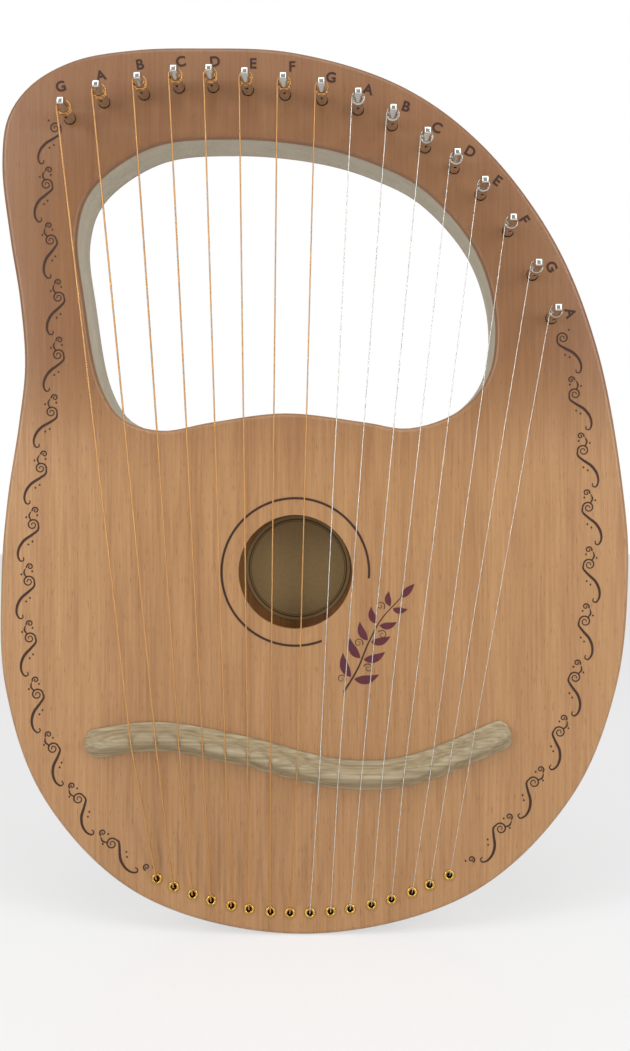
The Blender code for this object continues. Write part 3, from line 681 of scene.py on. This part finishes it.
def bridge_wood():
    """Bare sanded beech, matt with long fine streaks, whose grain runs along the ridge."""
    material, shader, place = new_material("bare_grey_beech")
    turned = add_node(
        material, "ShaderNodeMapping", links={"Vector": place, "Rotation": (0, math.pi / 2, 0)}
    ).outputs["Vector"]
    grain = stretched_noise(material, turned, *BEECH_GRAIN)
    colour = between(material, grain, "#AB9C7C", "#87775A")
    material.node_tree.links.new(colour, shader.inputs["Base Color"])
    shader.inputs["Roughness"].default_value = 0.55
    dents = add_node(
        material, "ShaderNodeBump", links={"Height": grain, "Strength": 0.2, "Distance": 0.0001}
    )
    material.node_tree.links.new(dents.outputs["Normal"], shader.inputs["Normal"])
    return material


finish_with(bridge, bridge_wood())
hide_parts("bridge")
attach(bridge, "harp")

# Strings
# Eight bronze-wound bass strings and eight plain steel ones. Each winds round its pin, crosses the
# bridge's crest, bends into its eyelet and ends in a ball behind the soundboard, made in the
# string's own metal.

# The x at which each string crosses the bridge, from the bass string to the treble string
BRIDGE_CROSSINGS = [
    -0.0748, -0.0634, -0.0528, -0.0419, -0.0316, -0.0213, -0.0110, 0.0013,
    0.0114, 0.0200, 0.0305, 0.0400, 0.0500, 0.0623, 0.0710, 0.0807,
]
BRONZE_GAUGES, STEEL_GAUGES, BRONZE_STRINGS = (0.00086, 0.00060), (0.00044, 0.00028), 8
COIL_HEIGHT, COIL_TURNS, COIL_TURN_POINTS, COIL_GAP = 0.0123, 3, 28, 0.00012
COIL_CLEARANCE = 0.0001
CREST_HALF, EYELET_BEND_RADIUS, EYELET_BEND_POINTS = 0.0014, 0.0011, 9
BALL_RADIUS, BALL_LENGTH, BALL_EDGE, BALL_GAP = 0.0020, 0.0032, 0.0005, 0.0002
STRING_BEVEL_STEPS = 3


def string_gauge(index):
    """The diameter of a string, wound ones first."""
    if index < BRONZE_STRINGS:
        thick, thin = BRONZE_GAUGES
        share = index / (BRONZE_STRINGS - 1)
    else:
        thick, thin = STEEL_GAUGES
        share = (index - BRONZE_STRINGS) / (len(pin_places) - BRONZE_STRINGS - 1)
    return thick + share * (thin - thick)


def bridge_centre(x):
    """The z of the bridge's centre line at x."""
    for here, there in zip(bridge_line, bridge_line[1:]):
        if here.x <= x <= there.x:
            return here.lerp(there, (x - here.x) / (there.x - here.x)).y
    return bridge_line[-1].y


def coil_points(index, towards):
    """The string's coil on its pin, from its cut tail to where it leaves for a point."""
    gauge = string_gauge(index)
    pitch = gauge + COIL_GAP
    radius = PIN_RADIUS + COIL_CLEARANCE + gauge / 2
    centre = pin_places[index] + COIL_HEIGHT * PIN_OUTWARD
    left, down = (towards - centre).dot(PIN_LEFT), (towards - centre).dot(PIN_DOWN)
    leaves = math.atan2(down, left) - math.acos(radius / math.hypot(left, down))
    points = []
    for i in range(COIL_TURNS * COIL_TURN_POINTS, -1, -1):
        back = 2 * math.pi * i / COIL_TURN_POINTS
        arm = math.cos(leaves - back) * PIN_LEFT + math.sin(leaves - back) * PIN_DOWN
        points.append(centre - PIN_OUTWARD * pitch * back / (2 * math.pi) + radius * arm)
    start = leaves - 2 * math.pi * COIL_TURNS
    backwards = math.sin(start) * PIN_LEFT - math.cos(start) * PIN_DOWN
    return [points[0] + 2 * gauge * backwards] + points


def eyelet_points(place, crest):
    """The string's bend over the eyelet's lip, down to its bore."""
    up_board = Vector((crest.x - place.x, 0.0, crest.z - place.z))
    reach = up_board.length - EYELET_BEND_RADIUS
    up_board.normalize()
    rise = place.y - crest.y - EYELET_HEIGHT
    tilt = math.atan2(rise, reach) + math.acos(EYELET_BEND_RADIUS / math.hypot(rise, reach))
    points = []
    for i in range(EYELET_BEND_POINTS):
        angle = tilt + (math.pi - tilt) * i / (EYELET_BEND_POINTS - 1)
        along = EYELET_BEND_RADIUS * (1 + math.cos(angle))
        out = EYELET_HEIGHT + EYELET_BEND_RADIUS * math.sin(angle)
        points.append(place + along * up_board - Vector((0, out, 0)))
    return points


def string_route(index):
    """Points and radii of a string from its cut tail to the back of its ball end."""
    wire = string_gauge(index) / 2
    x = BRIDGE_CROSSINGS[index]
    out = Vector((0, BRIDGE_FOOT + BRIDGE_HEIGHT + wire, 0))
    crest = Vector((x, FRONT_Y, bridge_centre(x))) - out
    eyelet = eyelet_places[index]
    above = crest + CREST_HALF * (pin_places[index] - out - crest).normalized()
    below = crest + CREST_HALF * (eyelet - out - crest).normalized()
    points = coil_points(index, above) + [above, below] + eyelet_points(eyelet, below)
    front = SEAT_Y + BALL_GAP
    back_end = front + BALL_LENGTH
    ball = [
        (front - BALL_EDGE, wire), (front, BALL_RADIUS - BALL_EDGE),
        (front + BALL_EDGE, BALL_RADIUS), (back_end - BALL_EDGE, BALL_RADIUS),
        (back_end, BALL_RADIUS - BALL_EDGE),
    ]
    return [(p, wire) for p in points] + [(Vector((eyelet.x, y, eyelet.z)), r) for y, r in ball]


def make_string(index):
    """One unbroken tube along the string's route."""
    name = f"wire_string_{index + 1:02d}"
    wire = string_gauge(index) / 2
    curve = bpy.data.curves.new(name, "CURVE")
    curve.dimensions = "3D"
    curve.bevel_depth = wire
    curve.bevel_resolution = STRING_BEVEL_STEPS
    curve.use_fill_caps = True
    route = string_route(index)
    spline = curve.splines.new("POLY")
    spline.points.add(len(route) - 1)
    for point, (place, radius) in zip(spline.points, route):
        point.co = (*place, 1.0)
        point.radius = radius / wire
    string = bpy.data.objects.new(name, curve)
    bpy.context.scene.collection.objects.link(string)
    only(string)
    bpy.ops.object.convert(target="MESH")
    smooth(string, angle=50.0)
    return string


WAVE_RADIANS_PER_UNIT = 20


def string_metal(name, glint_colour, shade_colour, roughness, band, depth):
    """Drawn wire with bands across it, as painted glints and painted shade in its colour, and as
    fine ridges.
    """
    material, shader, place = new_material(name)
    shader.inputs["Metallic"].default_value = 1.0
    shader.inputs["Roughness"].default_value = roughness
    wave = add_node(
        material, "ShaderNodeTexWave", {"bands_direction": "Z"},
        {"Vector": place, "Scale": 2 * math.pi / band / WAVE_RADIANS_PER_UNIT},
    )
    # Painted glints and painted shade: the colour swings between a dark and a bright band across the
    # wire
    colour = between(material, wave.outputs["Fac"], shade_colour, glint_colour)
    material.node_tree.links.new(colour, shader.inputs["Base Color"])
    ridges = add_node(
        material, "ShaderNodeBump",
        links={"Height": wave.outputs["Fac"], "Strength": depth, "Distance": 0.0001},
    )
    material.node_tree.links.new(ridges.outputs["Normal"], shader.inputs["Normal"])
    return material


# Bronze winding glints in fine bands, and plain steel is a smooth, bright line. The glints and the
# shade between the wraps are painted into the colour as bright and dark bands, faintly on the steel.
# The bands are drawn coarser than the real winding, so that they show.
BRONZE_BAND, STEEL_BAND = 0.0008, 0.0040
bronze = string_metal("bronze_wound_wire", "#E3B57C", "#A06A38", 0.3, BRONZE_BAND, 0.5)
steel = string_metal("plain_steel_wire", "#DAD8D2", "#C9C6BF", 0.22, STEEL_BAND, 0.05)
for index in range(len(pin_places)):
    string = make_string(index)
    wound = index < BRONZE_STRINGS
    finish_with(string, bronze if wound else steel)
    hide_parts(f"string_{index + 1:02d}")
    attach(string, "harp")

# Paper label
# A round tan paper, glued to the back plate's inside and seen through the sound hole. It has a
# thin ruled border.
LABEL_RADIUS = 0.0255
LABEL_BACK_Y, LABEL_FRONT_Y = -0.0029, -0.0032
LABEL_EDGE = 0.00004
LABEL_RULES = ((0.0238, 0.00035), (0.0229, 0.00015))
label_line = [(0, LABEL_BACK_Y, 0), (0, LABEL_FRONT_Y, 0)]
label = rod("tan_paper_label", LABEL_RADIUS, *label_line, LARGE_ROUND_SIDES)
only(label)
bpy.ops.object.mode_set(mode="EDIT")
bpy.ops.mesh.select_all(action="SELECT")
bpy.ops.mesh.bevel(offset=LABEL_EDGE, segments=2)
bpy.ops.object.mode_set(mode="OBJECT")

# Paper has no sheen, and its fibres mottle it in patches 1.4 mm wide
FIBRE_PATCHES_PER_METRE = 700.0
paper, paper_shader, paper_place = new_material("tan_laid_paper")
fibres = add_node(
    paper, "ShaderNodeTexNoise",
    links={"Vector": paper_place, "Scale": FIBRE_PATCHES_PER_METRE, "Detail": 5.0},
)
paper_colour = between(paper, fibres.outputs["Fac"], "#B79A6B", "#A48658")
flat_place = add_node(
    paper, "ShaderNodeVectorMath", {"operation": "MULTIPLY"}, {0: paper_place, 1: (1.0, 0.0, 1.0)}
)
from_centre = add_node(
    paper, "ShaderNodeVectorMath", {"operation": "LENGTH"}, {0: flat_place.outputs["Vector"]}
)
for rule_radius, half_width in LABEL_RULES:
    on_rule = add_node(
        paper, "ShaderNodeMath", {"operation": "COMPARE"},
        {0: from_centre.outputs["Value"], 1: rule_radius, 2: half_width},
    )
    paper_colour = between(paper, on_rule.outputs[0], paper_colour, "#6A4A30")
paper.node_tree.links.new(paper_colour, paper_shader.inputs["Base Color"])
paper_shader.inputs["Roughness"].default_value = 0.85
finish_with(label, paper)
smooth(label)
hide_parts("paper_label")
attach(label, "harp")

# Printed ornaments
# Dark brown and wine-red ink on the soundboard under the varnish: a ring round the sound hole,
# scrolling vines along both sides, and a sprig beside the hole. Each is a film 0.06 mm thick.
INK_OUT, INK_THICKNESS, LEAST_INK_WIDTH = 0.00003, 0.00006, 0.00004


def ink(name, dark, light, blots_per_metre):
    """Matt print whose colour varies a little from blot to blot."""
    material, shader, place = new_material(name)
    blots = add_node(
        material, "ShaderNodeTexNoise", links={"Vector": place, "Scale": blots_per_metre}
    )
    colour = between(material, blots.outputs["Fac"], dark, light)
    material.node_tree.links.new(colour, shader.inputs["Base Color"])
    shader.inputs["Roughness"].default_value = 0.5
    return material


def print_film(name, strokes, material):
    """Ink strokes as one thin film. A stroke is a list of (x, z) points and a list of widths."""
    film_mesh = bmesh.new()
    for points, widths in strokes:
        rows = []
        for i, here in enumerate(points):
            along = (points[min(i + 1, len(points) - 1)] - points[max(i - 1, 0)]).normalized()
            side = max(widths[i], LEAST_INK_WIDTH) / 2 * Vector((-along.y, along.x))
            rows.append([
                film_mesh.verts.new((p.x, FRONT_Y - INK_OUT, p.y))
                for p in (here - side, here + side)
            ])
        for (a, b), (c, d) in zip(rows, rows[1:]):
            film_mesh.faces.new((a, c, d, b))
    bmesh.ops.recalc_face_normals(film_mesh, faces=film_mesh.faces)
    mesh = bpy.data.meshes.new(name)
    film_mesh.to_mesh(mesh)
    film_mesh.free()
    film = bpy.data.objects.new(name, mesh)
    bpy.context.scene.collection.objects.link(film)
    only(film)
    bpy.ops.object.mode_set(mode="EDIT")
    bpy.ops.mesh.select_all(action="SELECT")
    bpy.ops.mesh.extrude_region_move(TRANSFORM_OT_translate={"value": (0, -INK_THICKNESS, 0)})
    bpy.ops.mesh.select_all(action="SELECT")
    bpy.ops.mesh.normals_make_consistent(inside=False)
    bpy.ops.object.mode_set(mode="OBJECT")
    finish_with(film, material)
    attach(film, "harp")


LEAF_STEPS, LEAF_FULLNESS = 10, 0.8


def leaf(base, tip, width, bow=0.0):
    """A pointed leaf from its base to its tip, bowed to one side and fullest near its base."""
    aside = Vector((-(tip - base).y, (tip - base).x))
    shares = [i / LEAF_STEPS for i in range(LEAF_STEPS + 1)]
    points = [base.lerp(tip, share) + bow * math.sin(math.pi * share) * aside for share in shares]
    widths = [width * math.sin(math.pi * share**LEAF_FULLNESS) for share in shares]
    return points, widths


CURL_STEPS_PER_TURN, CURL_DRAW_IN, CURL_THINNING, CURL_BLOB = 20, 0.8, 0.5, 1.6


def spiral(centre, radius, start, turns, width):
    """A curl that winds in towards its centre and thins on its way to the blob at its end."""
    steps = round(abs(turns) * CURL_STEPS_PER_TURN)
    points, widths = [], []
    for i in range(steps + 1):
        share = i / steps
        reach = radius * (1 - CURL_DRAW_IN * share)
        angle = start + 2 * math.pi * turns * share
        points.append(centre + reach * Vector((math.cos(angle), math.sin(angle))))
        widths.append(width * (1.0 - CURL_THINNING * share) if i < steps else CURL_BLOB * width)
    return points, widths


# Both inks are dull and uneven, in blots 1.3 mm and 1.7 mm wide
brown_ink = ink("dark_brown_print", "#2A1208", "#44230F", blots_per_metre=800.0)
red_ink = ink("wine_red_print", "#471521", "#662530", blots_per_metre=600.0)

RING_RADIUS, RING_WIDTH = 0.0343, 0.0011
RING_START, RING_END = math.radians(-5), math.radians(291)
RING_POINTS = 120
ring_angles = [
    RING_START + (RING_END - RING_START) * i / RING_POINTS for i in range(RING_POINTS + 1)
]
ring_points = [RING_RADIUS * Vector((math.cos(angle), math.sin(angle))) for angle in ring_angles]
print_film("sound_hole_ring", [(ring_points, [RING_WIDTH] * len(ring_points))], brown_ink)

LEFT_VINE = [
    (-0.1130, 0.2100), (-0.1178, 0.1730), (-0.1122, 0.1310), (-0.1130, 0.0900),
    (-0.1211, 0.0427), (-0.1257, 0.0010), (-0.1243, -0.0410), (-0.1155, -0.0800),
    (-0.0895, -0.1247), (-0.0676, -0.1410),
]
RIGHT_VINE = [
    (0.1254, 0.1125), (0.1323, 0.0800), (0.1375, 0.0380), (0.1384, 0.0010),
    (0.1345, -0.0360), (0.1230, -0.0790), (0.1020, -0.1140), (0.0812, -0.1377),
]
VINE_UNIT, VINE_STEP, VINE_END_MARGIN = 0.0260, 0.0010, 0.000001
STROKE_STEP, STROKE_START, STROKE_THIN = 0.0006, 0.08, 0.35

# One unit of scroll: share of the unit along the vine, and how far aside, of the S-shaped sweep
# that leaves the large curl, and of the short link that ends in the small curl
SWEEP = [
    (0.11, 0.0044), (0.20, 0.0046), (0.30, 0.0022), (0.42, -0.0014),
    (0.56, -0.0034), (0.70, -0.0036), (0.78, -0.0022), (0.76, -0.0008), (0.71, -0.0010),
]
LINK = [(1.06, 0.0008), (0.98, -0.0004), (0.90, 0.0002)]
DOTS = [(0.50, 0.0008), (0.44, 0.0026), (0.97, 0.0034), (0.03, -0.0016)]
SWEEP_WIDTH, LINK_WIDTH, CURL_WIDTH = 0.00125, 0.00080, 0.00075
DOT_HEIGHT, DOT_WIDTH = 0.0011, 0.0009

# Centre, radius, start and turns of the large and the small curl
CURLS = [
    ((0.13, 0.0018), 0.0027, SWEEP[0], -1.5),
    ((0.87, 0.0022), 0.0016, LINK[-1], 1.3),
]


def vine_strokes(places, side):
    """A running scroll: each unit has a curled S with a small curl and a few dots."""
    line = smooth_line(places, VINE_STEP)
    lengths = [0.0]
    for here, there in zip(line, line[1:]):
        lengths.append(lengths[-1] + (there - here).length)
    units = round(lengths[-1] / VINE_UNIT)
    unit = lengths[-1] / units

    def at(distance, aside):
        """The point that lies a distance along the vine and aside from its middle."""
        inside = max(0.0, min(lengths[-1] - VINE_END_MARGIN, distance))
        i = next(k for k in range(len(line) - 1) if lengths[k + 1] >= inside)
        along = (line[min(i + 3, len(line) - 1)] - line[max(i - 2, 0)]).normalized()
        here = line[i].lerp(line[i + 1], (inside - lengths[i]) / (lengths[i + 1] - lengths[i]))
        return here + (distance - inside) * along + side * aside * Vector((-along.y, along.x))

    def stroke(start, places_along, full):
        """A brush stroke through places along the vine, thickest in its middle."""
        corners = [at(start + share * unit, aside) for share, aside in places_along]
        points = smooth_line(corners, STROKE_STEP)
        last = len(points) - 1
        shares = (STROKE_START + (1 - STROKE_START) * i / last for i in range(last + 1))
        swells = (STROKE_THIN + (1 - STROKE_THIN) * math.sin(math.pi * share) for share in shares)
        return points, [full * swell for swell in swells]

    strokes = []
    for number in range(units):
        start = number * unit
        strokes.append(stroke(start, SWEEP, SWEEP_WIDTH))
        if number < units - 1:
            strokes.append(stroke(start, LINK, LINK_WIDTH))
        for (share, aside), radius, (first_share, first_aside), turns in CURLS:
            centre = at(start + share * unit, aside)
            heading = at(start + first_share * unit, first_aside) - centre
            angle = math.atan2(heading.y, heading.x)
            strokes.append(spiral(centre, radius, angle, -turns * side, CURL_WIDTH))
        for share, aside in DOTS:
            here = at(start + share * unit, aside)
            strokes.append(leaf(here, here + Vector((0.0, DOT_HEIGHT)), DOT_WIDTH))
    return strokes


print_film("left_vine", vine_strokes(LEFT_VINE, 1), brown_ink)
print_film("right_vine", vine_strokes(RIGHT_VINE, -1), brown_ink)

SPRIG_STEM = [
    (0.0225, -0.0560), (0.0290, -0.0450), (0.0340, -0.0330), (0.0400, -0.0220), (0.0490, -0.0120),
]
STEM_STEP, STEM_WIDTH, STEM_TAPER = 0.0010, 0.0009, 0.0005
LEAF_PAIRS, LEAF_START, LEAF_ROOM = 5, 0.9, 0.6
LEAF_REACH, LEAF_REACH_DROP = 0.0125, 0.0012
LEAF_WIDTH, LEAF_WIDTH_DROP = 0.0042, 0.0003
LEAF_FORWARDS, LEAF_ASIDE, LEAF_BOW, LEAF_STALK = 0.62, 0.78, 0.12, 0.0008
TIP_LEAF_REACH, TIP_LEAF_WIDTH = Vector((0.0065, 0.0065)), 0.0034
TENDRIL_BACK, TENDRIL_ASIDE = 0.0030, 0.0042
TENDRIL_RADIUS, TENDRIL_TURNS, TENDRIL_WIDTH = 0.0022, 1.3, 0.00045
sprig_line = smooth_line(SPRIG_STEM, STEM_STEP)
last = len(sprig_line) - 1
stem_widths = [STEM_WIDTH - STEM_TAPER * i / last for i in range(last + 1)]
sprig_leaves, sprig_curls = [], [(sprig_line, stem_widths)]
for pair in range(LEAF_PAIRS):
    i = round((pair + LEAF_START) / (LEAF_PAIRS + LEAF_ROOM) * last)
    here = sprig_line[i]
    along = (sprig_line[min(i + 2, last)] - sprig_line[i - 2]).normalized()
    reach = LEAF_REACH - LEAF_REACH_DROP * pair
    width = LEAF_WIDTH - LEAF_WIDTH_DROP * pair
    for way in (1, -1):
        aside = Vector((-along.y, along.x)) * way
        tip = here + reach * (LEAF_FORWARDS * along + LEAF_ASIDE * aside).normalized()
        sprig_leaves.append(leaf(here + LEAF_STALK * aside, tip, width, LEAF_BOW * way))
        if pair % 2 == (0 if way > 0 else 1):
            centre = here - TENDRIL_BACK * along + TENDRIL_ASIDE * aside
            angle, turns = math.atan2(-aside.y, -aside.x), TENDRIL_TURNS * way
            sprig_curls.append(spiral(centre, TENDRIL_RADIUS, angle, turns, TENDRIL_WIDTH))
sprig_leaves.append(leaf(sprig_line[-1], sprig_line[-1] + TIP_LEAF_REACH, TIP_LEAF_WIDTH))
print_film("sprig_leaves", sprig_leaves, red_ink)
print_film("sprig_stem", sprig_curls, brown_ink)

# Note letters
# The plain names of the sixteen notes, printed in the dark brown ink. Each stands above its pin
# and is turned with the outline.
LETTER_HEIGHT, LETTER_BOLDNESS = 0.0066, 0.00022

# Name, x, z and turn in degrees of each note's letter
NOTES = [
    ("G", -0.1090, 0.2255, 15), ("A", -0.0904, 0.2306, 15), ("B", -0.0723, 0.2357, 10),
    ("C", -0.0532, 0.2371, 8), ("D", -0.0374, 0.2371, 4), ("E", -0.0197, 0.2362, 0),
    ("F", -0.0016, 0.2348, 0), ("G", 0.0166, 0.2297, -4), ("A", 0.0338, 0.2241, -12),
    ("B", 0.0514, 0.2162, -18), ("C", 0.0658, 0.2064, -24), ("D", 0.0812, 0.1953, -30),
    ("E", 0.0938, 0.1818, -38), ("F", 0.1063, 0.1637, -58), ("G", 0.1189, 0.1418, -58),
    ("A", 0.1277, 0.1204, -75),
]
letters = []
for note, x, z, turn in NOTES:
    bpy.ops.object.text_add(location=(0, 0, 0))
    letter = bpy.context.object
    letter.data.body = note
    letter.data.size = LETTER_HEIGHT
    letter.data.align_x = "CENTER"
    letter.data.align_y = "CENTER"
    letter.data.extrude = INK_THICKNESS / 2
    letter.data.offset = LETTER_BOLDNESS
    letter.rotation_euler = (math.pi / 2, math.radians(-turn), 0)
    letter.location = (x, FRONT_Y - INK_OUT - INK_THICKNESS / 2, z)
    only(letter)
    bpy.ops.object.convert(target="MESH")
    bpy.ops.object.transform_apply(location=True, rotation=True, scale=True)
    letters.append(letter)
note_letters = joined("note_letters", letters)
finish_with(note_letters, brown_ink)
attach(note_letters, "harp")

# Studio
# A pale glossy floor that glows a little for the camera and a white surround. Two tall softboxes
# stand beside the camera, and a broad soft light hangs above it.
FLOOR_SIZE, FLOOR_GAP, FLOOR_GLOW = 6.0, 0.0002, 0.6
AMBIENT_GREY, AMBIENT_STRENGTH = (0.8, 0.8, 0.8, 1.0), 0.50
WHITE = (1, 1, 1, 1)
AIM = (0, 0, 0.05)
bpy.ops.mesh.primitive_plane_add(size=FLOOR_SIZE, location=(0, 0, cad_box[0][2] - FLOOR_GAP))
floor = bpy.context.object
floor.name = "floor"

# Smooth pale paint, mostly hidden by its own white glow where the camera looks at it
floor_paint, floor_shader = new_material("pale_glossy_floor")[:2]
floor_shader.inputs["Base Color"].default_value = linear("#F4F4F4")
floor_shader.inputs["Roughness"].default_value = 0.08
floor_glow = add_node(floor_paint, "ShaderNodeEmission", links={"Color": WHITE, "Strength": 1.0})
floor_rays = add_node(floor_paint, "ShaderNodeLightPath")
floor_share = add_node(
    floor_paint, "ShaderNodeMath", {"operation": "MULTIPLY"},
    {0: floor_rays.outputs["Is Camera Ray"], 1: FLOOR_GLOW},
)
floor_mix = add_node(
    floor_paint, "ShaderNodeMixShader",
    links={"Fac": floor_share.outputs[0], 1: floor_shader.outputs[0], 2: floor_glow.outputs[0]},
)
floor_paint.node_tree.links.new(
    floor_mix.outputs[0], floor_paint.node_tree.nodes["Material Output"].inputs["Surface"]
)
finish_with(floor, floor_paint)

world = bpy.data.worlds.new("studio")
bpy.context.scene.world = world
world.use_nodes = True
background = world.node_tree.nodes["Background"]
background.inputs["Color"].default_value = AMBIENT_GREY
background.inputs["Strength"].default_value = AMBIENT_STRENGTH
white = add_node(world, "ShaderNodeBackground", links={"Color": WHITE, "Strength": 1.0})
rays = add_node(world, "ShaderNodeLightPath")
chosen = add_node(
    world, "ShaderNodeMixShader",
    links={"Fac": rays.outputs["Is Camera Ray"], 1: background.outputs[0], 2: white.outputs[0]},
)
world.node_tree.links.new(
    chosen.outputs[0], world.node_tree.nodes["World Output"].inputs["Surface"]
)


def softbox(name, place, width, height, power):
    """A rectangular soft light that faces the harp."""
    light = bpy.data.lights.new(name, "AREA")
    light.shape = "RECTANGLE"
    light.size = width
    light.size_y = height
    light.energy = power
    box = bpy.data.objects.new(name, light)
    box.location = place
    box.rotation_euler = (Vector(AIM) - Vector(place)).to_track_quat("-Z", "Y").to_euler()
    bpy.context.scene.collection.objects.link(box)


softbox("left_softbox", (-1.1, -1.0, 0.5), width=0.4, height=1.2, power=10.0)
softbox("right_softbox", (1.1, -1.0, 0.5), width=0.4, height=1.2, power=10.0)
softbox("top_softbox", (0.0, -0.7, 1.4), width=1.2, height=0.8, power=8.0)

bpy.context.scene.view_settings.view_transform = "Standard"
